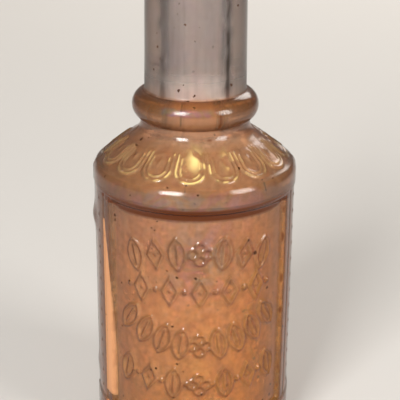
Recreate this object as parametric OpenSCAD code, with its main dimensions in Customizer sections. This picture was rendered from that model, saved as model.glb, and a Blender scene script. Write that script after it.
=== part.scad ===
// Antique moulded glass bottle with a tapered cork. Origin at the centre of the base, +Z up.

/* [Body] */
// Outside diameter of the base band and of the collar
body_d = 42; // [38:1:46]
// Height of the collar's lower edge above the base
collar_z = 57; // [55:0.5:59]
// Height of the straight part of the collar
collar_h = 2.9; // [2.5:0.1:4]
// Height of the band below the panels
base_band_h = 9.5; // [8:0.5:13]
// Thickness of the body wall behind the side strips
wall = 4; // [3:0.1:4.5]
// Thickness of the floor at the wall
floor_t = 5.5; // [5:0.1:7]
// Radius of the outer edge under the base
heel_r = 2; // [1:0.1:2.5]
// Height of the hollow under the base
push_up = 1.6; // [1:0.1:2]

/* [Panels] */
// Angle that each of the two sunk panels takes of the body
panel_angle = 121; // [121:1:124]
// Depth of a sunk panel below the collar
panel_depth = 1.1; // [0.5:0.1:1.4]
// Depth of the side strips below the collar
strip_depth = 0.2; // [0.1:0.1:0.4]
// Height of the sloped edge above and below a panel
panel_slope = 1.2; // [0.8:0.1:1.6]

/* [Shoulder] */
// Radius of the rounded edge above the collar
edge_r = 2.1; // [1.5:0.1:3]
// Slope of the shoulder
shoulder_angle = 37.6; // [36:0.1:39]
// Number of moulded petals round the shoulder
petals = 16; // [12:1:18]
// Turn of the petals from the front towards +X
petal_turn = -7; // [-11:1:11]
// How far a petal stands out of the shoulder
petal_h = 0.5; // [0.3:0.1:0.7]
// Radius of the ball that each petal is part of
petal_ball_r = 4; // [3.5:0.1:4.5]

/* [Neck] */
// Diameter of the neck's root, where it leaves the shoulder
root_d = 21.8; // [21.4:0.1:22.2]
// Height of the middle of the ring round the neck's root
ring_z = 73.2; // [73:0.1:74]
// Outside diameter of the ring
ring_d = 25.9; // [25.4:0.1:26.6]
// Thickness of the ring's round section
ring_t = 6.6; // [6:0.1:6.8]
// Diameter of the neck just above the ring
neck_d = 20.8; // [20:0.1:21.2]
// Diameter of the neck just below the lip
neck_top_d = 20.2; // [19.6:0.1:20.8]
// Diameter of the bore below the cork
bore_d = 9; // [8:0.1:10]

/* [Lip] */
// Outside diameter of the lip
lip_d = 26; // [25:0.1:28]
// Height of the lip
lip_h = 6; // [5:0.1:7]
// Radius of the lip's rounded edges
lip_r = 2; // [1:0.1:2.4]
// Height of the whole bottle without its cork
bottle_h = 111.5; // [108:0.5:116]

/* [Cork] */
// Depth of the cork in the neck
cork_in = 12; // [10:1:14]
// Height of the cork above the lip
cork_out = 6; // [4:1:8]
// Growth in radius for each millimetre up the cork
cork_taper = 0.045; // [0.03:0.005:0.06]
// Radial gap between the cork and the glass
cork_gap = 0.05; // [0.02:0.01:0.08]
// Size of the bevel on the cork's two rims
cork_bevel = 0.5; // [0.3:0.1:0.8]

/* [Hidden] */
$fn = 96;
cut = 1; // how far a cutting shape runs past the face it cuts
body_r = body_d / 2;
strip_r = body_r - strip_depth;
panel_r = body_r - panel_depth;
cavity_r = strip_r - wall;
cavity_edge_r = 2.5; // inside corner at the floor
bore_r = bore_d / 2;
edge_z = collar_z + collar_h;
// where the rounded edge runs into the slope, and where the slope meets the neck's root
slope_r = body_r - edge_r + edge_r * sin(shoulder_angle);
slope_z = edge_z + edge_r * cos(shoulder_angle);
root_z = slope_z + (slope_r - root_d / 2) * tan(shoulder_angle);
lip_z = bottle_h - lip_h;
cavity_top_z = collar_z + 2;
bore_z = root_z - 1; // the cavity's roof runs into the bore here
seat_z = bottle_h - cork_in - 1; // the bore starts to widen for the cork here
mouth_r = bore_r + cork_taper * (bottle_h - seat_z);
petal_r = slope_r - 3; // radius of the circle that the petals' middles lie on
petal_z = slope_z + (slope_r - petal_r) * tan(shoulder_angle);
petal_sink = petal_ball_r - petal_h;

// outline of the glass from the axis outwards, without the panels
module outside_outline() {
    polygon([
        [0, 0], [body_r - heel_r, 0], [body_r, heel_r], [body_r, base_band_h],
        [strip_r, base_band_h + strip_depth], [strip_r, collar_z - strip_depth],
        [body_r, collar_z], [body_r, edge_z], [slope_r, slope_z],
        [root_d / 2, root_z], [neck_d / 2, ring_z],
        [neck_top_d / 2, lip_z], [neck_top_d / 2, bottle_h], [0, bottle_h]
    ]);
    translate([body_r - heel_r, heel_r]) circle(r = heel_r);
    translate([body_r - edge_r, edge_z]) circle(r = edge_r);
    translate([ring_d / 2 - ring_t / 2, ring_z]) circle(d = ring_t);
    lip_outline();
}

module lip_outline() {
    translate([0, lip_z]) square([lip_d / 2 - lip_r, lip_h]);
    translate([0, lip_z + lip_r]) square([lip_d / 2, lip_h - 2 * lip_r]);
    for (z = [lip_z + lip_r, bottle_h - lip_r])
        translate([lip_d / 2 - lip_r, z]) circle(r = lip_r);
}

// outline of the hollow inside: the body, the bore and the widened mouth
module inside_outline() {
    polygon([
        [0, floor_t], [cavity_r - cavity_edge_r, floor_t], [cavity_r, floor_t + cavity_edge_r],
        [cavity_r, cavity_top_z], [bore_r, bore_z], [bore_r, seat_z],
        [mouth_r, bottle_h], [mouth_r, bottle_h + cut], [0, bottle_h + cut]
    ]);
    translate([cavity_r - cavity_edge_r, floor_t + cavity_edge_r]) circle(r = cavity_edge_r);
}

// space taken out of the body's wall for one sunk panel, centred on an angle
module panel_space(middle) {
    low = base_band_h;
    high = collar_z;
    rotate([0, 0, middle - panel_angle / 2])
        rotate_extrude(angle = panel_angle)
            polygon([
                [panel_r, low + panel_slope], [body_r, low], [body_r + cut, low],
                [body_r + cut, high], [body_r, high], [panel_r, high - panel_slope]
            ]);
}

// low round petals on the slope of the shoulder
module petal_ring() {
    for (i = [0 : petals - 1])
        rotate([0, 0, petal_turn + i * 360 / petals])
            translate([0, -petal_r + petal_sink * sin(shoulder_angle), petal_z - petal_sink * cos(shoulder_angle)])
                sphere(r = petal_ball_r);
}

// shallow dome under the base, which leaves a flat ring to stand on
module push_up_space() {
    ball_r = 60;
    translate([0, 0, push_up - ball_r]) sphere(r = ball_r);
}

module glass_bottle() {
    color("peachpuff", 0.6)
        difference() {
            union() {
                rotate_extrude() outside_outline();
                petal_ring();
            }
            rotate_extrude() inside_outline();
            panel_space(-90);
            panel_space(90);
            push_up_space();
        }
}

// tapered cork at the bore's own taper, a hair thinner, with both rims bevelled
module cork_stopper() {
    low = bottle_h - cork_in;
    high = bottle_h + cork_out;
    low_r = bore_r + cork_taper * (low - seat_z) - cork_gap;
    high_r = low_r + cork_taper * (high - low);
    color("tan")
        rotate_extrude()
            polygon([
                [0, low], [low_r - cork_bevel, low], [low_r, low + cork_bevel],
                [high_r, high - cork_bevel], [high_r - cork_bevel, high], [0, high]
            ]);
}

glass_bottle();
cork_stopper();
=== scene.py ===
import math
from types import SimpleNamespace

import bmesh
import bpy
import numpy as np
from mathutils import Matrix, Vector, noise


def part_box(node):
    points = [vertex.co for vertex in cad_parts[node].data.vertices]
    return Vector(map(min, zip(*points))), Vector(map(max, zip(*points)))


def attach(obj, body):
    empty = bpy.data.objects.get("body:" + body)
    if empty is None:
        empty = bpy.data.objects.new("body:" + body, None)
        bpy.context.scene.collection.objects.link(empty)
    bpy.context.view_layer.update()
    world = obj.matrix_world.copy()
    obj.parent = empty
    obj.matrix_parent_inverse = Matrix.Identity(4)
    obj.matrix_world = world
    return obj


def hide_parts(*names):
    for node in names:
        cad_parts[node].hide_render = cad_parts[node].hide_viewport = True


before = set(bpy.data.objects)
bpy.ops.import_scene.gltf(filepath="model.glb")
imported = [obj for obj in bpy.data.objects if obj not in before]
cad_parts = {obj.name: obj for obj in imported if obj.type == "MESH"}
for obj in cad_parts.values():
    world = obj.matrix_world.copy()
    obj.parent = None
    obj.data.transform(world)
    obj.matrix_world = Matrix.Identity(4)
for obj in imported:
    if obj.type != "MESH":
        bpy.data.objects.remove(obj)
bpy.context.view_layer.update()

mm = 0.001
glassLow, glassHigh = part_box("glass_bottle")
corkLow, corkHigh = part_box("cork_stopper")
bodyR = (glassHigh[0] - glassLow[0]) / 2
rimZ = glassHigh[2]  # top of the lip
print("frame loaded, body radius %.1f mm, rim at %.1f mm" % (bodyR / mm, rimZ / mm))


# small helpers for shapes

def arcPoints(centre, radius, start, end, count):
    angles = [math.radians(start + (end - start) * i / count) for i in range(count + 1)]
    return [(centre[0] + radius * math.cos(a), centre[1] + radius * math.sin(a)) for a in angles]


def linePoints(start, end, spacing):
    # the points after start, so that lines and arcs can be strung together
    count = max(1, round(math.dist(start, end) / spacing))
    return [(start[0] + (end[0] - start[0]) * i / count, start[1] + (end[1] - start[1]) * i / count)
            for i in range(1, count + 1)]


def smoothStep(values, low, high):
    t = np.clip((values - low) / (high - low), 0, 1)
    return t * t * (3 - 2 * t)


def smoothFall(values, low, high):
    return smoothStep(-values, -high, -low)


def between(values, low, high, soft):
    return smoothStep(values, low - soft, low + soft) * smoothFall(values, high - soft, high + soft)


def ridge(distance, width):
    return np.exp(-(distance / width) ** 2)


def noiseAt(points, grain):
    # grain is the size of one wave along X, Y and Z
    return np.array([noise.noise(Vector(p)) for p in points / np.array(grain)])


def turned(outline, steps):
    # an outline of (radius, height) spun about the Z axis
    bm = bmesh.new()
    verts = [bm.verts.new((r, 0, z)) for r, z in outline]
    edges = [bm.edges.new(pair) for pair in zip(verts, verts[1:])]
    bmesh.ops.spin(bm, geom=verts + edges, cent=(0, 0, 0), axis=(0, 0, 1),
                   angle=2 * math.pi, steps=steps, use_merge=True)
    bmesh.ops.remove_doubles(bm, verts=bm.verts, dist=1e-6)
    bmesh.ops.recalc_face_normals(bm, faces=bm.faces)
    return bm


def finished(bm, name, material):
    mesh = bpy.data.meshes.new(name)
    bm.to_mesh(mesh)
    bm.free()
    mesh.shade_smooth()
    mesh.materials.append(material)
    obj = bpy.data.objects.new(name, mesh)
    bpy.context.collection.objects.link(obj)
    return obj


# small helpers for materials

def hexColour(text):
    parts = [int(text[i:i + 2], 16) / 255 for i in (1, 3, 5)]
    return tuple(c / 12.92 if c <= 0.04045 else ((c + 0.055) / 1.055) ** 2.4 for c in parts) + (1,)


def addNode(tree, kind, inputs=None, stops=None, **settings):
    node = tree.nodes.new(kind)
    for key, value in settings.items():
        setattr(node, key, value)
    for key, value in (inputs or {}).items():
        if isinstance(value, bpy.types.NodeSocket):
            tree.links.new(value, node.inputs[key])
        else:
            node.inputs[key].default_value = value
    if stops:
        ramp = node.color_ramp
        while len(ramp.elements) < len(stops):
            ramp.elements.new(1)
        for element, (place, colour) in zip(ramp.elements, stops):
            element.position = place
            element.color = hexColour(colour)
    return node


def spanInputs(span):
    # a map range node's inputs: from low, from high, to low, to high
    return dict(enumerate(span, 1))


def newMaterial(name):
    material = bpy.data.materials.new(name)
    material.use_nodes = True
    material.node_tree.nodes.clear()
    return material, material.node_tree


# the bottle's outline

bottle = {
    "columns": 156,            # faces round the turned shell
    "detailCuts": 2,           # cuts across each face where there is relief
    "detailTurns": [(0, 79), (101, 125)],  # degrees from the front, to either side
    "pushUp": 1.6 * mm,        # hollow under the base
    "pushUpBall": 60 * mm,
    "heelR": 2 * mm,
    "bandTop": 9.5 * mm,       # top of the band under the panels
    "bandEdge": 0.3 * mm,
    "collarLow": 57 * mm,
    "collarGap": 0.1 * mm,     # from the wall's last row to the collar
    "collarTop": 59.9 * mm,
    "collarEdgeR": 0.35 * mm,  # worn lower edge of the collar
    "stripR": bodyR - 0.2 * mm,
    "edgeR": 2.1 * mm,         # rounded edge of the shoulder
    "slope": 37.6,             # degrees
    "rootR": 11.2 * mm,
    "coveReach": 1.5 * mm,     # of the cove between the slope and the root, along each of them
    "ringZ": 73.25 * mm,
    "ringR": 12.95 * mm,
    "ringThick": 3.2 * mm,     # radius of the ring's section
    "ringSink": 0.1 * mm,      # the ring starts this far inside the root
    "ringEnd": 76,             # degrees up the ring's section, where the neck starts
    "neckFoot": (10.37 * mm, 76.75 * mm),  # radius and height
    "neckTop": (10.1 * mm, rimZ - 6.5 * mm),
    "lipLow": rimZ - 6 * mm,
    "lipR": 13 * mm,
    "lipRound": 2 * mm,
    "rimDrop": 0.05 * mm,      # the lip falls this far towards the mouth
    "mouthR": 5.085 * mm,
    "mouthRound": 0.8 * mm,
    "boreR": 4.5 * mm,
    "seatZ": rimZ - 13 * mm,   # the bore widens for the cork from here
    "boreLow": 67.5 * mm,
    "boreFlare": (0.6 * mm, 1 * mm),  # outwards and up, where the bore meets the cavity
    "cavityR": 16.8 * mm,
    "cavityTop": 58.5 * mm,
    "cavityEdge": (1 * mm, 0.9 * mm, 0.6 * mm),  # its bevel: inwards, up and down
    "floor": 5.5 * mm,
    "floorR": 2.5 * mm,
}

# spacing of the points along each stretch of the outline
rows = {
    "stand": 2 * mm,
    "band": 0.9 * mm,
    "relief": 0.84 * mm,
    "collar": 0.8 * mm,
    "root": 0.5 * mm,
    "neckFoot": 1 * mm,
    "neck": 1.8 * mm,
    "underLip": 0.6 * mm,
    "rim": 1.2 * mm,
    "mouth": 2.4 * mm,
    "bore": 2.6 * mm,
    "flare": 0.8 * mm,
    "roof": 1 * mm,
    "cavity": 2.6 * mm,
    "floor": 3 * mm,
}

slopeTan = math.tan(math.radians(bottle["slope"]))
slopeSin = math.sin(math.radians(bottle["slope"]))
slopeCos = math.cos(math.radians(bottle["slope"]))
edgeCentre = (bodyR - bottle["edgeR"], bottle["collarTop"])
slopeR, slopeZ = arcPoints(edgeCentre, bottle["edgeR"], 0, 90 - bottle["slope"], 1)[1]
rootZ = slopeZ + (slopeR - bottle["rootR"]) * slopeTan
coveFoot = (bottle["rootR"] + bottle["coveReach"] * slopeCos, rootZ - bottle["coveReach"] * slopeSin)


def outsideOutline():
    b = bottle
    standR = math.sqrt(b["pushUpBall"] ** 2 - (b["pushUpBall"] - b["pushUp"]) ** 2)
    points = []
    for i in range(7):  # the hollow under the base
        r = standR * i / 6
        points.append((r, b["pushUp"] - b["pushUpBall"] + math.sqrt(b["pushUpBall"] ** 2 - r * r)))
    points += linePoints(points[-1], (bodyR - b["heelR"], 0), rows["stand"])
    points += arcPoints((bodyR - b["heelR"], b["heelR"]), b["heelR"], -90, 0, 7)[1:]
    points += linePoints(points[-1], (bodyR, b["bandTop"] - b["bandEdge"]), rows["band"])
    points += linePoints(points[-1], (b["stripR"], b["bandTop"]), rows["relief"])
    points += linePoints(points[-1], (b["stripR"], b["collarLow"] - b["collarGap"]), rows["relief"])
    lowR = b["collarEdgeR"]
    points += arcPoints((bodyR - lowR, b["collarLow"] + lowR), lowR, -60, 0, 4)
    points += linePoints(points[-1], (bodyR, b["collarTop"]), rows["collar"])
    points += arcPoints(edgeCentre, b["edgeR"], 0, 90 - b["slope"], 7)[1:]
    points += linePoints(points[-1], coveFoot, rows["relief"])
    coveR = b["coveReach"] / math.tan(math.radians(45 - b["slope"] / 2))
    points += arcPoints((b["rootR"] + coveR, rootZ + b["coveReach"]), coveR, 270 - b["slope"], 180, 8)[1:]
    ringCentre = (b["ringR"] - b["ringThick"], b["ringZ"])
    start = -math.degrees(math.acos((b["rootR"] - b["ringSink"] - ringCentre[0]) / b["ringThick"]))
    ringPoints = arcPoints(ringCentre, b["ringThick"], start, b["ringEnd"], 20)
    points += linePoints(points[-1], ringPoints[0], rows["root"])
    points += ringPoints[1:]
    points += linePoints(points[-1], b["neckFoot"], rows["neckFoot"])
    points += linePoints(points[-1], b["neckTop"], rows["neck"])
    lipCentre = (b["lipR"] - b["lipRound"], b["lipLow"] + b["lipRound"])
    points += linePoints(points[-1], (lipCentre[0], b["lipLow"]), rows["underLip"])
    points += arcPoints(lipCentre, b["lipRound"], -90, 0, 7)[1:]
    points += arcPoints((lipCentre[0], rimZ - b["lipRound"]), b["lipRound"], 0, 90, 7)
    points += linePoints(points[-1], (b["mouthR"] + b["mouthRound"], rimZ - b["rimDrop"]), rows["rim"])
    return points


def insideOutline():
    b = bottle
    flareOut, flareUp = b["boreFlare"]
    edgeIn, edgeUp, edgeDown = b["cavityEdge"]
    mouthCentre = (b["mouthR"] + b["mouthRound"], rimZ - b["rimDrop"] - b["mouthRound"])
    points = arcPoints(mouthCentre, b["mouthRound"], 110, 180, 4)
    points += linePoints(points[-1], (b["boreR"], b["seatZ"]), rows["mouth"])
    points += linePoints(points[-1], (b["boreR"], b["boreLow"] + flareUp), rows["bore"])
    points += linePoints(points[-1], (b["boreR"] + flareOut, b["boreLow"]), rows["flare"])
    points += linePoints(points[-1], (b["cavityR"] - edgeIn, b["cavityTop"] + edgeUp), rows["roof"])
    points += linePoints(points[-1], (b["cavityR"], b["cavityTop"] - edgeDown), rows["roof"])
    points += linePoints(points[-1], (b["cavityR"], b["floor"] + b["floorR"]), rows["cavity"])
    floorCentre = (b["cavityR"] - b["floorR"], b["floor"] + b["floorR"])
    points += arcPoints(floorCentre, b["floorR"], 0, -90, 6)[1:]
    points += linePoints(points[-1], (0, b["floor"]), rows["floor"])
    return points


# the relief moulded into the outside; turns are degrees from the front, towards +X

relief = {
    "panelR": 19.9 * mm,
    "panelHalf": 58.5,          # from the panel's middle to the middle of its side edge
    "panelEdge": 1.9,           # half the width of the sloped side edge, degrees
    "panelRise": 1.2 * mm,      # height of the sloped edges above and below
    "panelGap": 0.05 * mm,      # from the upper one to the collar
    "stepTurn": 66,             # of the groove between a panel's flat border and a bead strip
    "stepDeep": 0.16 * mm,
    "stepHalf": 0.35 * mm,
    "beadTurn": 74.5,           # from the panel's middle to a row of beads
    "beadPitch": 3.7 * mm,
    "beadTopR": 0.075 * mm,
    "beadFootR": 0.6 * mm,
    "beadH": 0.15 * mm,
    "beadEnd": 2 * mm,          # from the band or the collar to the nearest bead
    "seamH": 0.14 * mm,
    "seamHalf": 0.22 * mm,
    "seamFrom": 1 * mm,         # height where the seams start
    "lumpTurn": -88,            # glass squeezed out of the seam: (height, rise, half its height)
    "lumps": [(49.5 * mm, 0.6 * mm, 2.2 * mm), (14.5 * mm, 0.25 * mm, 2 * mm)],
    "lumpHalf": 2 * mm,
    "shoulderLine": 0.14 * mm,  # fine raised line where the slope starts
    "shoulderLineHalf": 0.3 * mm,
}

petals = {
    "count": 16,
    "turn": -7,                 # of the petal nearest the front
    "middle": 3.2 * mm,         # from the slope's start in to the petals' middles
    "foot": 1.4 * mm,           # up the slope to the petals' tips
    "outer": 2.8 * mm,          # half widths of a petal's outer and inner raised line
    "inner": 1.9 * mm,
    "outerEnd": (7.7 * mm, 8.5 * mm),  # up the slope to where each line runs out
    "innerEnd": (6.7 * mm, 7.6 * mm),
    "lineH": 0.34 * mm,
    "innerShare": 0.85,         # of the inner line's height
    "innerShine": 0.8,          # of its painted glint
    "outerLine": 0.25 * mm,
    "innerLine": 0.225 * mm,
    "swell": 0.12 * mm,
    "swellR": 1.12 * mm,        # of the flat top of the swell inside the lines
    "dropH": 0.22 * mm,         # small drop in the middle of a petal
    "dropR": 0.7 * mm,
    "dropUp": 1.6 * mm,
    "dropWide": 0.6,            # its width over its height
}


def fromPanel(turn):
    # degrees from the middle of the nearer panel, front or back
    return np.minimum(np.abs(turn), 180 - np.abs(turn))


def petalMarks(turn, height):
    # how far the petals rise from the slope, and where their raised lines are
    p = petals
    pitch = 360 / p["count"]
    local = (turn - p["turn"] + pitch / 2) % pitch - pitch / 2
    across = np.abs(np.radians(local)) * (slopeR - p["middle"])
    along = (height - slopeZ) / slopeSin
    centre = p["foot"] + p["outer"]
    reach = np.hypot(across, np.minimum(along - centre, 0))
    ends = smoothFall(along, *p["outerEnd"])
    outer = ridge(reach - p["outer"], p["outerLine"]) * ends
    inner = ridge(reach - p["inner"], p["innerLine"]) * smoothFall(along, *p["innerEnd"])
    swell = p["swell"] * smoothFall(reach, p["swellR"], p["outer"]) * ends
    drop = np.hypot(across / p["dropWide"], along - centre - p["dropUp"])
    rise = p["lineH"] * (outer + p["innerShare"] * inner) + swell + p["dropH"] * ridge(drop, p["dropR"])
    return rise, np.maximum(outer, p["innerShine"] * inner)


def panelShare(turn, height):
    # 1 in the floor of a sunk panel, 0 on the strips and bands
    p = relief
    side = smoothFall(fromPanel(turn), p["panelHalf"] - p["panelEdge"], p["panelHalf"] + p["panelEdge"])
    top = smoothFall(height, bottle["collarLow"] - p["panelRise"], bottle["collarLow"] - p["panelGap"])
    foot = smoothStep(height, bottle["bandTop"], bottle["bandTop"] + p["panelRise"])
    return side * top * foot


def beadRelief(turn, height):
    # each bead's share of its full rise
    p = relief
    total = np.zeros_like(turn)
    first = bottle["bandTop"] + p["beadEnd"]
    last = bottle["collarLow"] - p["beadEnd"]
    step = (last - first) / round((last - first) / p["beadPitch"])
    fromBead = (height - first + step / 2) % step - step / 2
    inside = (height > first - step / 2) & (height < last + step / 2)
    for side in (p["beadTurn"], 180 - p["beadTurn"]):
        across = np.radians(np.abs(turn) - side) * bottle["stripR"]
        reach = np.hypot(across, fromBead)
        total += smoothFall(reach, p["beadTopR"], p["beadFootR"]) * inside
    return total


def stepRelief(turn):
    return ridge(np.radians(fromPanel(turn) - relief["stepTurn"]) * bodyR, relief["stepHalf"])


def seamRelief(turn, height):
    # the two halves of the mould met at the sides, and some glass squeezed out between them
    p = relief
    total = p["seamH"] * ridge(np.radians(np.abs(turn) - 90) * bodyR, p["seamHalf"])
    across = np.radians(turn - p["lumpTurn"]) * bodyR
    for lumpZ, lumpH, lumpTall in p["lumps"]:
        total += lumpH * ridge(across, p["lumpHalf"]) * ridge(height - lumpZ, lumpTall)
    return total * (height > p["seamFrom"]) * (height < rootZ)


# the raised ornament on the front panel: the distance from (x, y) to a motif's raised lines

def leafLine(x, y, wide, tall):
    # two arcs that meet in points, with a rib down the middle
    radius = (wide * wide + tall * tall) / (2 * wide)
    shift = radius - wide
    outer = np.maximum(np.hypot(x - shift, y), np.hypot(x + shift, y)) - radius
    rib = np.hypot(x, np.maximum(np.abs(y) - 0.6 * tall, 0))
    return np.minimum(np.abs(outer), rib)


def lozengeLine(x, y, wide, tall):
    outer = (np.abs(x) / wide + np.abs(y) / tall - 1) * wide * tall / math.hypot(wide, tall)
    return np.minimum(np.abs(outer), np.hypot(x, y))


def flowerLine(x, y, wide, tall):
    # four round petals about a pip
    distance = np.hypot(x, y)
    petalR = 0.39 * wide
    for dx, dy in ((1, 0), (-1, 0), (0, 1), (0, -1)):
        petal = np.hypot(x - dx * wide / 2, y - dy * tall / 2)
        distance = np.minimum(distance, np.abs(petal - petalR))
    return distance


def pipLine(x, y, wide, tall):
    # a small round knob, so its height isn't needed
    return np.maximum(np.hypot(x, y) - wide, 0)


ornament = {
    "rise": 0.42 * mm,
    "line": 0.34 * mm,
    "shade": (0.4 * mm, 0.26 * mm),  # painted shadow lies to the left of and below each line
    "shadeLine": 0.26 * mm,
    "margin": 1.4 * mm,        # round a motif, past which it has no effect
    "halfWidth": 15.2 * mm,
    "motifs": {  # the lines' function, half width and half height
        "leaf": (leafLine, 1.6 * mm, 3.3 * mm),
        "lozenge": (lozengeLine, 1.6 * mm, 2.9 * mm),
        "flower": (flowerLine, 2.6 * mm, 2.6 * mm),
        "pip": (pipLine, 0.25 * mm, 0.25 * mm),
    },
    "rows": [  # middle height, how far the ends stand above the middle, share of the width
        (48.2 * mm, -1.6 * mm, 0.9, "leaf lozenge leaf flower leaf lozenge leaf"),
        (39.9 * mm, 0, 1, "pip lozenge pip lozenge pip lozenge pip lozenge pip lozenge pip"),
        (28.1 * mm, 4.6 * mm, 1, "leaf leaf leaf leaf flower leaf leaf leaf leaf"),
        (19.1 * mm, 1.6 * mm, 1.05, "leaf pip lozenge pip leaf pip flower pip leaf pip lozenge pip leaf"),
    ],
}


def motifDistance(name, dx, dy, lean):
    motif, wide, tall = ornament["motifs"][name]
    x = dx * math.cos(lean) + dy * math.sin(lean)
    y = dy * math.cos(lean) - dx * math.sin(lean)
    return motif(x, y, wide, tall)


def ornamentMarks(turn, height):
    # the ornament's share of its full rise, and the painted shadow beside its lines
    across = np.radians(turn) * relief["panelR"]
    lines = np.zeros_like(turn)
    shade = np.zeros_like(turn)
    sideX, sideY = ornament["shade"]
    for up, ends, share, motifs in ornament["rows"]:
        half = ornament["halfWidth"] * share
        names = motifs.split()
        for i, name in enumerate(names):
            place = 2 * i / (len(names) - 1) - 1
            x0, y0 = place * half, up + ends * place * place
            lean = math.atan2(2 * ends * place, half)  # upright to the row's curve
            reach = max(ornament["motifs"][name][1:]) + ornament["margin"]
            near = np.hypot(across - x0, height - y0) < reach
            dx, dy = across[near] - x0, height[near] - y0
            line = ridge(motifDistance(name, dx, dy, lean), ornament["line"])
            ornamentShadow = ridge(motifDistance(name, dx + sideX, dy + sideY, lean), ornament["shadeLine"])
            lines[near] = np.maximum(lines[near], line)
            shade[near] = np.maximum(shade[near], ornamentShadow)
    return lines, shade


# the glass; its colours are given by height in millimetres

glass = {
    "clear": 0.97,             # transmission of clean glass
    "hazeHides": 0.75,
    "stainAndShadeHides": 0.85,
    # the lighter stops from 67 to 71 mm are painted light where the ring shades the shoulder's top
    "face": [
        (0, "#ffbe74"), (40, "#fcba7a"), (54, "#dcaa80"), (58, "#ae8c76"), (61, "#cc9e70"),
        (67, "#ecb684"), (69, "#f0c09c"), (71, "#e4b48c"), (73, "#dca878"), (76, "#d48c4c"),
        (77, "#c4aca0"), (80, "#c4b6b0"), (111, "#c0b6b6"),
    ],
    "lining": [
        (0, "#fcb474"), (50, "#f8b47e"), (66, "#f4c490"), (74, "#d4b8a4"), (82, "#ccc0c0"),
        (111, "#ccc4c6"),
    ],
    "edge": [                  # where the glass is looked along: partly its tint over a longer path, partly painted shade
        (0, "#8a4a0c"), (45, "#84460c"), (56, "#603008"), (62, "#6c3a0c"), (69, "#7c3e0a"),
        (71, "#6c3200"), (76, "#703602"), (77, "#2a1c12"), (111, "#1e1410"),
    ],
    "edgeShadeFull": 0.85,          # turned this far away, the glass has its full edge colour, painted shade included
    "drift": 14 * mm,          # size of the slow changes in colour
    "driftReach": 0.02,        # share of the height that they move the colours by
    "patch": 5 * mm,           # size of the hazy patches
    "patchSpan": (0.42, 0.72, 0, 0.5),
    "patchColour": "#c4885a",
    "mottle": 1.3 * mm,        # size of the fine mottling
    "mottleSpan": (0.36, 0.64, -0.22, 0.16),
    "warmColour": "#ffae4c",
    "sheenColours": [
        (0.3, "#a48c9c"), (0.42, "#98a8a0"), (0.5, "#b49c70"), (0.58, "#c08c90"), (0.7, "#9296b4"),
    ],
    "filmGrain": 6 * mm,
    "filmSwirl": 1.2,
    "glintPaintColour": "#ffe294",
    "highlightPaintColour": "#dc9c6c",
    "dirtAndShadeColours": [(0.66, "#542402"), (0.71, "#20140c")],  # brown up to the ring, black on the neck
    "dirtAndShadePower": 0.5,          # thin dirt and painted shade already colour the glass well
    "speckColour": "#43230c",
    "speckGap": 2.2 * mm,      # between specks of dirt and burst bubbles
    "speckSpan": (0.46, 0.64, 0.06, 0.22),  # specks are bigger in the hazy patches
    "speckRagged": (0.4, 0.6, 0.25, 1.3),
    "speckEdge": 25.0,         # how sharp a speck's edge is
    "streak": (0.9 * mm, 0.9 * mm, 9 * mm),  # runs down the glass
    "streakSpan": (0.3, 0.7, 0.9, 1.08),
    "ripple": 1.6 * mm,        # size of the fine ripples left by the mould
    "rippleDeep": 0.05 * mm,
    "rippleStrength": 0.3,
    "roughClean": 0.04,
    "roughHaze": 0.38,
    "roughPatch": 0.12,
    "roughGlintPaint": -0.34,
    "absorbs": "#e8b87c",
    "absorbDensity": 30,       # per metre
}


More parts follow.
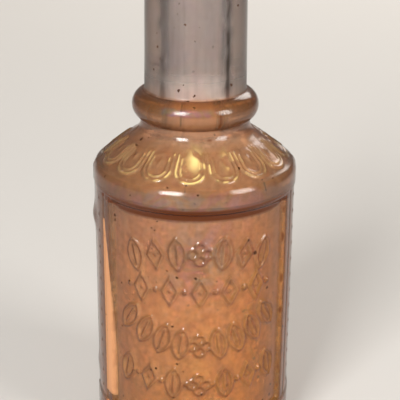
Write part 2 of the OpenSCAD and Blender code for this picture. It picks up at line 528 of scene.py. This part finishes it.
def glassMaterial():
    # pressed soda-lime glass, fire-polished: glossy and wavy, milky with age, stained by what it held; its
    # colour also carries painted shade, a painted highlight, painted glints and a painted sheen
    material, tree = newMaterial("pressedGlass")
    g = glass
    marks = {name: addNode(tree, "ShaderNodeAttribute", attribute_name=name).outputs["Fac"]
             for name in ("inside", "stainAndShade", "haze", "warm", "filmSheen", "paintedGlint", "paintedHighlight", "edgeShadeFrom", "mottle")}
    place = addNode(tree, "ShaderNodeTexCoord").outputs["Object"]
    up = addNode(tree, "ShaderNodeSeparateXYZ", {0: place}).outputs["Z"]
    share = addNode(tree, "ShaderNodeMath", {0: up, 1: rimZ}, operation="DIVIDE").outputs[0]
    broad = addNode(tree, "ShaderNodeTexNoise",
                    {"Vector": place, "Scale": 1 / g["drift"], "Detail": 3}).outputs["Fac"]
    shift = addNode(tree, "ShaderNodeMath", {0: broad, 1: g["driftReach"], 2: -g["driftReach"] / 2},
                    operation="MULTIPLY_ADD").outputs[0]
    share = addNode(tree, "ShaderNodeMath", {0: share, 1: shift}, operation="ADD").outputs[0]
    byHeight = []
    for name in ("face", "lining", "edge"):
        stops = [(z * mm / rimZ, colour) for z, colour in g[name]]
        byHeight.append(addNode(tree, "ShaderNodeValToRGB", {0: share}, stops=stops).outputs[0])
    face, lining, edge = byHeight
    tint = addNode(tree, "ShaderNodeMix", {0: marks["inside"], 6: face, 7: lining},
                   data_type="RGBA").outputs[2]
    tint = addNode(tree, "ShaderNodeMix", {0: marks["warm"], 6: tint, 7: hexColour(g["warmColour"])},
                   data_type="RGBA").outputs[2]
    # hazy patches
    cloud = addNode(tree, "ShaderNodeTexNoise", {"Vector": place, "Scale": 1 / g["patch"], "Detail": 5,
                                                 "Roughness": 0.6}).outputs["Fac"]
    patch = addNode(tree, "ShaderNodeMapRange", {0: cloud, **spanInputs(g["patchSpan"])}).outputs[0]
    patch = addNode(tree, "ShaderNodeMath", {0: patch, 1: marks["mottle"]}, operation="MULTIPLY").outputs[0]
    tint = addNode(tree, "ShaderNodeMix", {0: patch, 6: tint, 7: hexColour(g["patchColour"])},
                   data_type="RGBA").outputs[2]
    # painted sheen: the weathered film shows pale colours, as oil on water does
    swirl = addNode(tree, "ShaderNodeTexNoise", {"Vector": place, "Scale": 1 / g["filmGrain"], "Detail": 4,
                                                 "Distortion": g["filmSwirl"]}).outputs["Fac"]
    rainbow = addNode(tree, "ShaderNodeValToRGB", {0: swirl}, stops=g["sheenColours"]).outputs[0]
    tint = addNode(tree, "ShaderNodeMix", {0: marks["filmSheen"], 6: tint, 7: rainbow},
                   data_type="RGBA").outputs[2]
    # dried runs, long and narrow, and fine mottling
    streaks = addNode(tree, "ShaderNodeMapping",
                      {"Vector": place, "Scale": [1 / size for size in g["streak"]]}).outputs[0]
    runs = addNode(tree, "ShaderNodeTexNoise", {"Vector": streaks, "Scale": 1, "Detail": 3}).outputs["Fac"]
    runShade = addNode(tree, "ShaderNodeMapRange", {0: runs, **spanInputs(g["streakSpan"])}).outputs[0]
    fine = addNode(tree, "ShaderNodeTexNoise", {"Vector": place, "Scale": 1 / g["mottle"], "Detail": 4,
                                                "Roughness": 0.6}).outputs["Fac"]
    mottling = addNode(tree, "ShaderNodeMapRange", {0: fine, **spanInputs(g["mottleSpan"])}).outputs[0]
    mottling = addNode(tree, "ShaderNodeMath", {0: mottling, 1: marks["mottle"], 2: 1.0},
                       operation="MULTIPLY_ADD").outputs[0]
    shade = addNode(tree, "ShaderNodeMath", {0: runShade, 1: mottling}, operation="MULTIPLY").outputs[0]
    tint = addNode(tree, "ShaderNodeMix", {0: 1.0, 6: tint, 7: shade}, data_type="RGBA",
                   blend_type="MULTIPLY").outputs[2]
    # glass is darker where it is looked along than where it is looked through: partly its tint over the
    # longer path, partly painted shade
    facing = addNode(tree, "ShaderNodeLayerWeight", {"Blend": 0.5}).outputs["Facing"]
    along = addNode(tree, "ShaderNodeMapRange",
                    {0: facing, 1: marks["edgeShadeFrom"], 2: g["edgeShadeFull"], 3: 0, 4: 1}).outputs[0]
    tint = addNode(tree, "ShaderNodeMix", {0: along, 6: tint, 7: edge}, data_type="RGBA").outputs[2]
    # a painted highlight and painted glints, then dirt and painted shade over everything
    stainedAndShaded = addNode(tree, "ShaderNodeMath", {0: marks["stainAndShade"], 1: g["dirtAndShadePower"]},
                      operation="POWER").outputs[0]
    dirtColour = addNode(tree, "ShaderNodeValToRGB", {0: share}, stops=g["dirtAndShadeColours"]).outputs[0]
    layers = [(marks["paintedHighlight"], hexColour(g["highlightPaintColour"])), (marks["paintedGlint"], hexColour(g["glintPaintColour"])),
              (stainedAndShaded, dirtColour)]
    for mark, colour in layers:
        tint = addNode(tree, "ShaderNodeMix", {0: mark, 6: tint, 7: colour}, data_type="RGBA").outputs[2]
    # ragged specks
    cells = addNode(tree, "ShaderNodeTexVoronoi",
                    {"Vector": place, "Scale": 1 / g["speckGap"]}).outputs["Distance"]
    size = addNode(tree, "ShaderNodeMapRange", {0: cloud, **spanInputs(g["speckSpan"])}).outputs[0]
    ragged = addNode(tree, "ShaderNodeMapRange", {0: fine, **spanInputs(g["speckRagged"])}).outputs[0]
    size = addNode(tree, "ShaderNodeMath", {0: size, 1: ragged}, operation="MULTIPLY").outputs[0]
    speck = addNode(tree, "ShaderNodeMath", {0: size, 1: cells}, operation="SUBTRACT").outputs[0]
    speck = addNode(tree, "ShaderNodeMath", {0: speck, 1: g["speckEdge"]}, operation="MULTIPLY",
                    use_clamp=True).outputs[0]
    tint = addNode(tree, "ShaderNodeMix", {0: speck, 6: tint, 7: hexColour(g["speckColour"])},
                   data_type="RGBA").outputs[2]
    # haze, dirt and painted shade let less light through
    dirtAndShade = addNode(tree, "ShaderNodeMath", {0: marks["stainAndShade"], 1: speck}, operation="MAXIMUM").outputs[0]
    clear = addNode(tree, "ShaderNodeMath", {0: marks["haze"], 1: -g["hazeHides"], 2: g["clear"]},
                    operation="MULTIPLY_ADD").outputs[0]
    clear = addNode(tree, "ShaderNodeMath", {0: dirtAndShade, 1: -g["stainAndShadeHides"], 2: clear},
                    operation="MULTIPLY_ADD", use_clamp=True).outputs[0]
    rough = addNode(tree, "ShaderNodeMath", {0: marks["haze"], 1: g["roughHaze"], 2: g["roughClean"]},
                    operation="MULTIPLY_ADD").outputs[0]
    rough = addNode(tree, "ShaderNodeMath", {0: patch, 1: g["roughPatch"], 2: rough},
                    operation="MULTIPLY_ADD").outputs[0]
    rough = addNode(tree, "ShaderNodeMath", {0: marks["paintedGlint"], 1: g["roughGlintPaint"], 2: rough},
                    operation="MULTIPLY_ADD", use_clamp=True).outputs[0]
    ripple = addNode(tree, "ShaderNodeTexNoise",
                     {"Vector": place, "Scale": 1 / g["ripple"], "Detail": 4}).outputs["Fac"]
    bump = addNode(tree, "ShaderNodeBump", {"Height": ripple, "Strength": g["rippleStrength"],
                                            "Distance": g["rippleDeep"]}).outputs[0]
    shader = addNode(tree, "ShaderNodeBsdfPrincipled",
                     {"Base Color": tint, "Roughness": rough, "IOR": 1.5, "Specular IOR Level": 0.35,
                      "Transmission Weight": clear, "Normal": bump})
    inside = addNode(tree, "ShaderNodeVolumeAbsorption",
                     {"Color": hexColour(g["absorbs"]), "Density": g["absorbDensity"]})
    addNode(tree, "ShaderNodeOutputMaterial", {"Surface": shader.outputs[0], "Volume": inside.outputs[0]})
    return material


# what lies on and in the glass, and the light and shade painted on it, by place: turns are degrees from the
# front, noise runs from -1 to 1

dirtAndShade = {
    "spots": (0.05, 0.4),      # the noise at which spots start and are full
    "line": 2.1 * mm,          # height of the brown line of painted shade under the collar
    "lineEnd": 76,
    "lineTaperFrom": 45,
    "lineTaper": 0.75,
    "lineSoft": 0.12 * mm,
    "lineAbove": 0.5 * mm,     # onto the collar's worn edge
    "sideGap": 2 * mm,         # from the panels' side edges to the collar
    "strips": (67, 70),        # the side strips darken from here on
    "cornerTurn": 62.5,        # the panels' low corners
    "cornerZ": 10.4 * mm,
    "cornerR": 1.6 * mm,
    "ringMiddle": 2,           # painted shade: the ring is clear here and darkens towards its sides
    "ringSides": (26, 48),
    "ringSeam": 19,            # amber run over the ring
    "ringSeamHalf": 0.6 * mm,
    "ringSeamFrom": -2.6 * mm,
    "ringSeamTo": 2.9 * mm,
    "rootLine": 0.2 * mm,      # line under the ring, this far above the root
    "rootLineHalf": 0.3 * mm,
    "groove": (0.9, 0.5),      # depth in the grooves on the right and on the left
    "depths": {                # even depth, and what is added in spots
        "side": (0.25, 0.7),
        "corner": (0.95, 0),
        "ornament": (0.6, 0),
        "strip": (0.2, 0.3),
        "bead": (0.9, 0),
        "ringSeam": (0.28, 0.7),
        "ringSideShade": (0.12, 0.35),
        "rootLine": (0.2, 0.7),
    },
    # turn, half width and depth of the bands of painted shade down the neck's outside, and of the dark
    # bands down the bore
    "neckShadeBands": [(33.7, 5, 1), (-42.4, 6, 0.8)],
    "neckShadeFade": 5 * mm,     # up from the middle of the ring
    "boreDarkBands": [(61, 6, 0.9), (-73, 5, 0.6), (148, 7, 0.5), (-142, 5, 0.5), (-28, 2, 0.15)],
}

haze = {
    "bore": 1.1,
    "cavity": 0.5,
    "neck": 0.3,
    "neckFoot": 0.45,          # added at the neck's foot
    "neckFootEnd": (78 * mm, 83 * mm),
    "neckFrom": 3 * mm,        # above the middle of the ring
    "wall": 0.14,
    "panel": 0.2,              # added in a panel
    "collar": 0.3,
    "slope": 0.4,
    "reflectionBar": 0.4,
    "highlightWedge": 1.2,
}

warmth = {
    "share": 0.8,
    "side": 0.8,               # warmer towards +X
    "middle": 45 * mm,         # and lower down
    "spread": 60 * mm,
    "span": (-0.3, 1),
    "end": (50 * mm, 63 * mm),
}

# painted iridescent sheen of the weathered film, strongest at the front
filmSheen = {
    "even": 0.1,
    "panel": (0.5, -1, 20),    # share, turn and half width
    "panelZ": 46 * mm,
    "panelTall": 8 * mm,
    "collar": (0.45, -5, 50),
    "collarSoft": 0.5 * mm,
    "collarOver": 1 * mm,      # past the collar's top
    "reflectionBar": (0.5 * mm, 1.8 * mm),  # painted reflection: a lilac bar on the ring, above the ring's middle
    "barTurns": (-34, 12),
    "barSoft": (0.3 * mm, 5),
}

# painted glints on the petals' raised lines, brighter at the front
paintedGlint = {
    "grain": 1.7 * mm,
    "noiseSpan": 0.3,
    "line": (0.25, 0.95),      # even share on the petals' lines, and what the noise adds
    "lineFrom": -0.15,
    "front": (0.35, 0.65),     # even share, and what is added at the front
    "frontTurn": -4,
    "frontHalf": 32,
    # painted gleams in the petals: share, turn, half width, height on the slope, half height, noise start
    "gleams": [(1.15, -4, 6.5, 4.1 * mm, 1.9 * mm, -0.25), (0.8, 20, 4, 3.6 * mm, 2 * mm, -0.1)],
}

highlightWedge = {                      # painted highlight: a pale wedge beside the left row of beads
    "turn": -67.5,             # its outer edge
    "wide": 10,                # at its foot
    "narrows": 0.85,
    "turnSoft": 0.7,
    "low": 11.6 * mm,
    "high": 51.5 * mm,
    "soft": 0.4 * mm,
    "hidesStainAndShade": 0.9,
}

# where the glass starts to darken as it turns away, partly painted edge shade, and how mottled it is
edgeShadeFrom = {"inside": 0.3, "neck": 0.05, "body": 0.14}
mottled = {"wall": 1, "shoulder": 0.7, "neck": 0.2}

uneven = {
    "wave": 11 * mm,           # size of the broad waves
    "run": (5 * mm, 5 * mm, 20 * mm),  # and of the long runs inside
    "dirtAndShade": (1.3 * mm, 1.3 * mm, 2.2 * mm),
    "outsideWave": 0.05 * mm,
    "outsideFrom": 0.3 * mm,   # the foot that the bottle stands on stays flat
    "insideWave": 0.22 * mm,
    "insideRun": 0.16 * mm,
    "boreShare": 0.4,
    "insideFrom": 1 * mm,      # the middle of the floor stays on the axis
}


def placesOf(co):
    # where each point of the turned shell is, and what it belongs to
    b = bottle
    radius = np.hypot(co[:, 0], co[:, 1])
    turn = np.degrees(np.arctan2(co[:, 0], -co[:, 1]))
    height = co[:, 2].copy()
    # the inner wall is what lies within a hair of the cavity's own outline
    insideR = np.interp(height, [b["floor"] - 0.3 * mm, b["cavityTop"], b["boreLow"], b["seatZ"], rimZ],
                        [b["cavityR"], b["cavityR"], b["boreR"] + b["boreFlare"][0], b["boreR"],
                         b["mouthR"] + 0.75 * mm])
    inner = (radius < insideR + 0.35 * mm) & (height > b["floor"] - 0.2 * mm)
    outer = ~inner
    wall = outer & (height > b["bandTop"] - 0.1 * mm) & (height < b["collarLow"] - 0.05 * mm)
    slope = outer & (height > slopeZ) & (height < coveFoot[1] - 0.01 * mm)
    return SimpleNamespace(radius=radius, turn=turn, height=height, inner=inner, outer=outer, wall=wall,
                           slope=slope, front=np.abs(turn) < 90)


def paintedHighlightMark(at):
    w = highlightWedge
    up = np.clip((at.height - w["low"]) / (w["high"] - w["low"]), 0, 1)
    side = w["turn"] + w["wide"] * (1 - w["narrows"] * up ** 3)
    across = between(at.turn, w["turn"], side, w["turnSoft"])
    return across * between(at.height, w["low"], w["high"], w["soft"]) * at.wall


def reflectionBarMark(at):
    low, high = filmSheen["reflectionBar"]
    softZ, softTurn = filmSheen["barSoft"]
    up = between(at.height, bottle["ringZ"] + low, bottle["ringZ"] + high, softZ)
    return up * between(at.turn, *filmSheen["barTurns"], softTurn)


def dirtAndShadeMark(at, share, ornamentShadow, beads, step, blotches):
    b, d = bottle, dirtAndShade
    spots = smoothStep(blotches, *d["spots"])
    away = fromPanel(at.turn)
    onRing = (np.abs(at.height - b["ringZ"]) < b["ringThick"]) * at.outer
    corner = np.hypot(np.radians(away - d["cornerTurn"]) * bodyR, at.height - d["cornerZ"])
    seam = ridge(np.radians(at.turn - d["ringSeam"]) * b["ringR"], d["ringSeamHalf"]) * between(
        at.height, b["ringZ"] + d["ringSeamFrom"], b["ringZ"] + d["ringSeamTo"], 0.5 * mm)
    layers = {
        "side": 4 * share * (1 - share) * at.wall * (at.height < b["collarLow"] - d["sideGap"]),
        "corner": ridge(corner, d["cornerR"]) * at.wall,
        # painted shadow beside the ornament's lines
        "ornament": ornamentShadow * at.wall * at.front,
        "strip": smoothStep(away, *d["strips"]) * at.wall,
        "bead": beads ** 3,
        "ringSeam": seam * at.outer,
        # painted shade towards the ring's sides
        "ringSideShade": smoothStep(np.abs(at.turn - d["ringMiddle"]), *d["ringSides"]) * onRing,
        "rootLine": ridge(at.height - rootZ - d["rootLine"], d["rootLineHalf"]) * at.outer,
    }
    # painted shade: a dark brown line under the collar, narrowing towards the sides
    tall = d["line"] * (1 - d["lineTaper"] * smoothStep(away, d["lineTaperFrom"], d["lineEnd"]))
    low = b["collarLow"] - tall
    line = smoothStep(at.height, low - d["lineSoft"], low + d["lineSoft"])
    line = line * (at.height < b["collarLow"] + d["lineAbove"]) * at.outer * (away < d["lineEnd"])
    total = np.maximum(line, step * np.where(at.turn > 0, *d["groove"]))
    for name, layer in layers.items():
        even, spotty = d["depths"][name]
        total = np.maximum(total, layer * (even + spotty * spots))
    # painted shade in dark bands down the neck's outside, either side of the front
    neckFade = smoothStep(at.height, b["ringZ"], b["ringZ"] + d["neckShadeFade"]) * at.outer
    for middle, half, deep in d["neckShadeBands"]:
        run = deep * ridge(at.turn - middle, half * (0.75 + 0.5 * blotches)) * neckFade
        total = np.maximum(total, run * (0.6 + 0.4 * smoothStep(blotches, -0.3, 0.2)))
    for middle, half, deep in d["boreDarkBands"]:
        aside = (at.turn - middle + 180) % 360 - 180
        run = deep * ridge(aside, half) * smoothStep(blotches, -0.35, 0.1)
        total = np.maximum(total, run * at.inner * (at.height > b["boreLow"]))
    return total


def hazeMark(at, share):
    b, h = bottle, haze
    z = at.height
    foot = smoothFall(z, *h["neckFootEnd"])
    places = [at.inner & (z > b["boreLow"]), at.inner, z > b["ringZ"] + h["neckFrom"], z > rootZ,
              z < b["collarLow"], z < slopeZ]
    amounts = [h["bore"], h["cavity"], h["neck"] + h["neckFoot"] * foot, h["neck"],
               h["wall"] + h["panel"] * share, h["collar"]]
    return np.select(places, amounts, h["slope"])


def warmMark(at):
    w = warmth
    rise = np.sin(np.radians(at.turn)) * w["side"] + (w["middle"] - at.height) / w["spread"]
    return smoothStep(rise, *w["span"]) * w["share"] * smoothFall(at.height, *w["end"])


def filmSheenMark(at):
    b, f = bottle, filmSheen
    share, turn, half = f["panel"]
    total = f["even"] + share * ridge(at.turn - turn, half) * ridge(at.height - f["panelZ"], f["panelTall"])
    share, turn, half = f["collar"]
    total += share * ridge(at.turn - turn, half) * between(
        at.height, b["collarLow"], b["collarTop"] + f["collarOver"], f["collarSoft"])
    return np.clip(total + reflectionBarMark(at), 0, 1) * at.outer


def paintedGlintMark(at, petalLines, glints):
    # painted glints along the petals' lines and painted gleams inside the petals
    g = paintedGlint
    even, added = g["line"]
    total = petalLines * (even + added * smoothStep(glints, g["lineFrom"], g["lineFrom"] + g["noiseSpan"]))
    even, added = g["front"]
    total *= even + added * ridge(at.turn - g["frontTurn"], g["frontHalf"])
    for share, turn, half, up, tall, start in g["gleams"]:
        gleam = share * ridge(at.turn - turn, half) * ridge(at.height - slopeZ - up, tall)
        gleam = gleam * smoothStep(glints, start, start + g["noiseSpan"]) * at.outer
        total = np.maximum(total, gleam)
    return total


def wantsDetail(face):
    # on the outer wall where there are panels and beads, and on the shoulder's slope
    b = bottle
    c = face.calc_center_median()
    r, turn = math.hypot(c.x, c.y), math.degrees(abs(math.atan2(c.x, -c.y)))
    if b["bandTop"] < c.z < b["collarLow"]:
        return r > b["cavityR"] + 1 * mm and any(low <= turn < high for low, high in b["detailTurns"])
    fromSlope = r * slopeTan + c.z - (rootZ + b["rootR"] * slopeTan)
    return b["rootR"] < r and slopeZ < c.z < rootZ and abs(fromSlope) < 0.5 * mm


def buildBottle():
    b, u = bottle, uneven
    bm = turned(outsideOutline() + insideOutline(), b["columns"])
    # finer faces where the relief is
    detail = [edge for edge in bm.edges if any(wantsDetail(face) for face in edge.link_faces)]
    bmesh.ops.subdivide_edges(bm, edges=detail, cuts=b["detailCuts"], use_grid_fill=True)
    bmesh.ops.triangulate(bm, faces=[face for face in bm.faces if len(face.verts) > 4])
    obj = finished(bm, "moulded_bottle", glassMaterial())
    mesh = obj.data
    print("bottle shell turned, %d faces" % len(mesh.polygons))

    co = np.empty(len(mesh.vertices) * 3)
    mesh.vertices.foreach_get("co", co)
    co = co.reshape(-1, 3)
    at = placesOf(co)
    turn, height = at.turn, at.height
    target = at.radius.copy()
    target[at.wall] = b["stripR"]
    target[at.slope] = slopeR - (height[at.slope] - slopeZ) / slopeTan
    share = panelShare(turn, height) * at.wall
    lines, ornamentShadow = ornamentMarks(turn, height)
    petalRise, petalLines = petalMarks(turn, height)
    petalRise = petalRise * at.slope
    beads = beadRelief(turn, height) * at.wall
    step = stepRelief(turn) * at.wall
    rise = seamRelief(turn, height) * at.outer
    rise += relief["beadH"] * beads - relief["stepDeep"] * step
    rise += ornament["rise"] * lines * at.wall * at.front
    rise += relief["shoulderLine"] * ridge(height - slopeZ, relief["shoulderLineHalf"]) * at.outer
    # old glass is never even: broad waves outside, bigger ones and long runs inside
    waves = noiseAt(co, (u["wave"], u["wave"], u["wave"]))
    runs = noiseAt(co, u["run"])
    dirtNoise = noiseAt(co, u["dirtAndShade"])
    glintNoise = noiseAt(co, (paintedGlint["grain"], paintedGlint["grain"], paintedGlint["grain"]))
    target += rise - share * (b["stripR"] - relief["panelR"])
    target += at.outer * u["outsideWave"] * waves * (height > u["outsideFrom"])
    insideRise = np.where(height > b["boreLow"], u["boreShare"], 1) * (
        u["insideWave"] * waves + u["insideRun"] * runs)
    target += at.inner * insideRise * (height < b["seatZ"]) * (at.radius > u["insideFrom"])
    scale = np.where(at.radius > 1e-6, target / np.maximum(at.radius, 1e-6), 1)
    co[:, 0] *= scale
    co[:, 1] *= scale
    # petals stand square to the slope
    co[:, 0] += np.sin(np.radians(turn)) * petalRise * slopeSin
    co[:, 1] -= np.cos(np.radians(turn)) * petalRise * slopeSin
    co[:, 2] += petalRise * slopeCos
    mesh.vertices.foreach_set("co", co.ravel())

    # a painted highlight in the wedge beside the beads
    paintedHighlight = paintedHighlightMark(at)
    # painted glints on the petals
    paintedGlintShare = paintedGlintMark(at, petalLines * at.slope, glintNoise)
    milky = np.maximum(hazeMark(at, share), haze["reflectionBar"] * reflectionBarMark(at))
    milky = np.maximum.reduce([milky, haze["highlightWedge"] * paintedHighlight, paintedGlintShare])
    onNeck, onWall, onShoulder = height > rootZ, height < b["collarLow"], height < rootZ
    marks = {
        "inside": at.inner,
        "stainAndShade": dirtAndShadeMark(at, share, ornamentShadow, beads, step, dirtNoise) * (1 - highlightWedge["hidesStainAndShade"] * paintedHighlight),
        "haze": milky,
        "warm": warmMark(at),
        "filmSheen": filmSheenMark(at),
        "paintedGlint": paintedGlintShare,
        "paintedHighlight": paintedHighlight,
        "edgeShadeFrom": np.select([at.inner, onNeck], [edgeShadeFrom["inside"], edgeShadeFrom["neck"]], edgeShadeFrom["body"]),
        "mottle": np.select([onWall, onShoulder], [mottled["wall"], mottled["shoulder"]], mottled["neck"]),
    }
    for name, values in marks.items():
        mesh.attributes.new(name, "FLOAT", "POINT").data.foreach_set("value", values.astype(float))
    mesh.update()
    return obj


bottleObj = buildBottle()
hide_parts("glass_bottle")
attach(bottleObj, "bottle")
print("bottle done")


# the cork

cork = {
    "rim": 0.5 * mm,
    "taper": 0.045,            # growth in radius up the cork
    "steps": 96,
    "innerShare": 0.5,         # of the lower face, which is flat
    "row": 0.35 * mm,
    "lowRow": 1 * mm,
    "topRow": 0.6 * mm,
    "pitSize": 1.5 * mm,
    "pitFrom": 0.28,           # noise above this makes a pit
    "pitDeep": 0.56 * mm,
    "roughSize": 0.7 * mm,
    "roughDeep": 0.03 * mm,
    "grain": 0.9 * mm,
    "colours": [(0.3, "#8a5a32"), (0.5, "#b98a58"), (0.7, "#cfa678")],
    "poreColour": "#3d2414",
    "poreGap": 2.2 * mm,
    "poreSpan": (0.12, 0.24, 1, 0),
    "poreStretch": 2.6,        # pores are wider than they are tall
    "bumpDeep": 0.25 * mm,
}


def corkMaterial():
    # natural cork, cut with a knife: warm brown grain with dark pores, dry and matt
    material, tree = newMaterial("naturalCork")
    place = addNode(tree, "ShaderNodeTexCoord").outputs["Object"]
    grain = addNode(tree, "ShaderNodeTexNoise", {"Vector": place, "Scale": 1 / cork["grain"], "Detail": 6,
                                                 "Roughness": 0.65}).outputs["Fac"]
    colour = addNode(tree, "ShaderNodeValToRGB", {0: grain}, stops=cork["colours"]).outputs[0]
    flat = addNode(tree, "ShaderNodeMapping",
                   {"Vector": place, "Scale": (1, 1, cork["poreStretch"])}).outputs[0]
    cells = addNode(tree, "ShaderNodeTexVoronoi",
                    {"Vector": flat, "Scale": 1 / cork["poreGap"]}).outputs["Distance"]
    pore = addNode(tree, "ShaderNodeMapRange", {0: cells, **spanInputs(cork["poreSpan"])}).outputs[0]
    colour = addNode(tree, "ShaderNodeMix", {0: pore, 6: colour, 7: hexColour(cork["poreColour"])},
                     data_type="RGBA").outputs[2]
    depth = addNode(tree, "ShaderNodeMath", {0: grain, 1: pore}, operation="SUBTRACT").outputs[0]
    bump = addNode(tree, "ShaderNodeBump",
                   {"Height": depth, "Strength": 0.7, "Distance": cork["bumpDeep"]}).outputs[0]
    shader = addNode(tree, "ShaderNodeBsdfPrincipled",
                     {"Base Color": colour, "Roughness": 0.85, "Normal": bump})
    addNode(tree, "ShaderNodeOutputMaterial", {"Surface": shader.outputs[0]})
    return material


def buildCork():
    rim = cork["rim"]
    low, high = corkLow[2], corkHigh[2]
    highR = (corkHigh[0] - corkLow[0]) / 2
    lowR = highR - cork["taper"] * (high - low)
    points = [(0, low), (lowR * cork["innerShare"], low)]
    points += linePoints(points[-1], (lowR - rim, low), cork["lowRow"])
    points += arcPoints((lowR - rim, low + rim), rim, -90, 0, 4)[1:]
    points += linePoints(points[-1], (highR, high - rim), cork["row"])
    points += arcPoints((highR - rim, high - rim), rim, 0, 90, 4)[1:]
    points += linePoints(points[-1], (0, high), cork["topRow"])
    bm = turned(points, cork["steps"])
    for vert in bm.verts:
        p = vert.co
        pit = noise.noise(Vector((p.x, p.y, p.z * cork["poreStretch"])) / cork["pitSize"])
        rough = abs(noise.noise(p / cork["roughSize"]))
        deep = max(0, pit - cork["pitFrom"]) * cork["pitDeep"] + rough * cork["roughDeep"]
        vert.co -= vert.normal * deep
    bm.normal_update()
    return finished(bm, "cut_cork", corkMaterial())


corkObj = buildCork()
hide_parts("cork_stopper")
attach(corkObj, "stopper")
print("cork done")


# stage, lights and camera

stage = {
    "colour": "#d2d0cd",
    "flat": 1.3,               # radius of the level floor, metres
    "curve": 0.8,
    "tall": 2.4,
    "steps": 96,
    "lamps": [  # name, place, size, watts, colour
        ("keySoftbox", (-0.45, -0.75, 0.5), (0.34, 0.34), 9.5, "#fffdfa"),
        ("fillSoftbox", (0.65, -0.5, 0.4), (0.34, 0.4), 5, "#fffbf6"),
        ("backSoftbox", (0.25, 0.8, 0.6), (0.9, 0.4), 6, "#fff8f0"),
    ],
    "lampAim": (0, 0, 0.06),
    "world": "#e8e6e4",
    "worldStrength": 0.3,
}


def buildStage():
    # a round floor that curves up into a wall on every side
    s = stage
    side = [(0, 0), (s["flat"], 0)]
    side += arcPoints((s["flat"], s["curve"]), s["curve"], -90, 0, 16)[1:]
    side.append((s["flat"] + s["curve"], s["tall"]))
    bm = bmesh.new()
    verts = [bm.verts.new((r, 0, z)) for r, z in side]
    edges = [bm.edges.new(pair) for pair in zip(verts, verts[1:])]
    bmesh.ops.spin(bm, geom=verts + edges, cent=(0, 0, 0), axis=(0, 0, 1),
                   angle=2 * math.pi, steps=s["steps"], use_merge=True)
    bmesh.ops.remove_doubles(bm, verts=bm.verts, dist=1e-6)
    for face in bm.faces:  # faces look in and up
        c = face.calc_center_median()
        if face.normal.dot(Vector((-c.x, -c.y, 1))) < 0:
            face.normal_flip()
    material, tree = newMaterial("stagePaper")
    shader = addNode(tree, "ShaderNodeBsdfPrincipled",
                     {"Base Color": hexColour(s["colour"]), "Roughness": 0.9})
    addNode(tree, "ShaderNodeOutputMaterial", {"Surface": shader.outputs[0]})
    finished(bm, "floor_sweep", material)


def buildLights():
    for name, place, size, watts, colour in stage["lamps"]:
        light = bpy.data.lights.new(name, "AREA")
        light.shape = "RECTANGLE"
        light.size, light.size_y = size
        light.energy = watts
        light.color = hexColour(colour)[:3]
        obj = bpy.data.objects.new(name, light)
        obj.location = place
        aim = Vector(stage["lampAim"]) - Vector(place)
        obj.rotation_euler = aim.to_track_quat("-Z", "Y").to_euler()
        bpy.context.collection.objects.link(obj)
    world = bpy.data.worlds.new("studio")
    world.use_nodes = True
    background = world.node_tree.nodes["Background"]
    background.inputs["Color"].default_value = hexColour(stage["world"])
    background.inputs["Strength"].default_value = stage["worldStrength"]
    bpy.context.scene.world = world
    bpy.context.scene.view_settings.view_transform = "Standard"


cameraSet = {
    "lens": 96.6,
    "sensor": 36,
    "clip": (0.01, 20),
    "distance": 226.5 * mm,
    "elevation": 20.9,
    "turn": -4,            # degrees round from straight ahead
    "roll": 0.41,
    "aimZ": 51.9 * mm,
    "shift": 0.0135,
}


def buildCamera():
    c = cameraSet
    data = bpy.data.cameras.new("camera")
    data.lens = c["lens"]
    data.sensor_width = c["sensor"]
    data.shift_x = c["shift"]
    data.clip_start, data.clip_end = c["clip"]
    camera = bpy.data.objects.new("camera", data)
    turn, rise = math.radians(c["turn"]), math.radians(c["elevation"])
    aim = Vector((0, 0, c["aimZ"]))
    away = Vector((math.sin(turn) * math.cos(rise), -math.cos(turn) * math.cos(rise), math.sin(rise)))
    place = aim + away * c["distance"]
    turnTo = (aim - place).to_track_quat("-Z", "Y").to_matrix().to_4x4()
    roll = Matrix.Rotation(math.radians(c["roll"]), 4, "Z")
    camera.matrix_world = Matrix.Translation(place) @ turnTo @ roll
    bpy.context.collection.objects.link(camera)
    bpy.context.scene.camera = camera


buildStage()
buildLights()
buildCamera()
print("stage, lights and camera done")
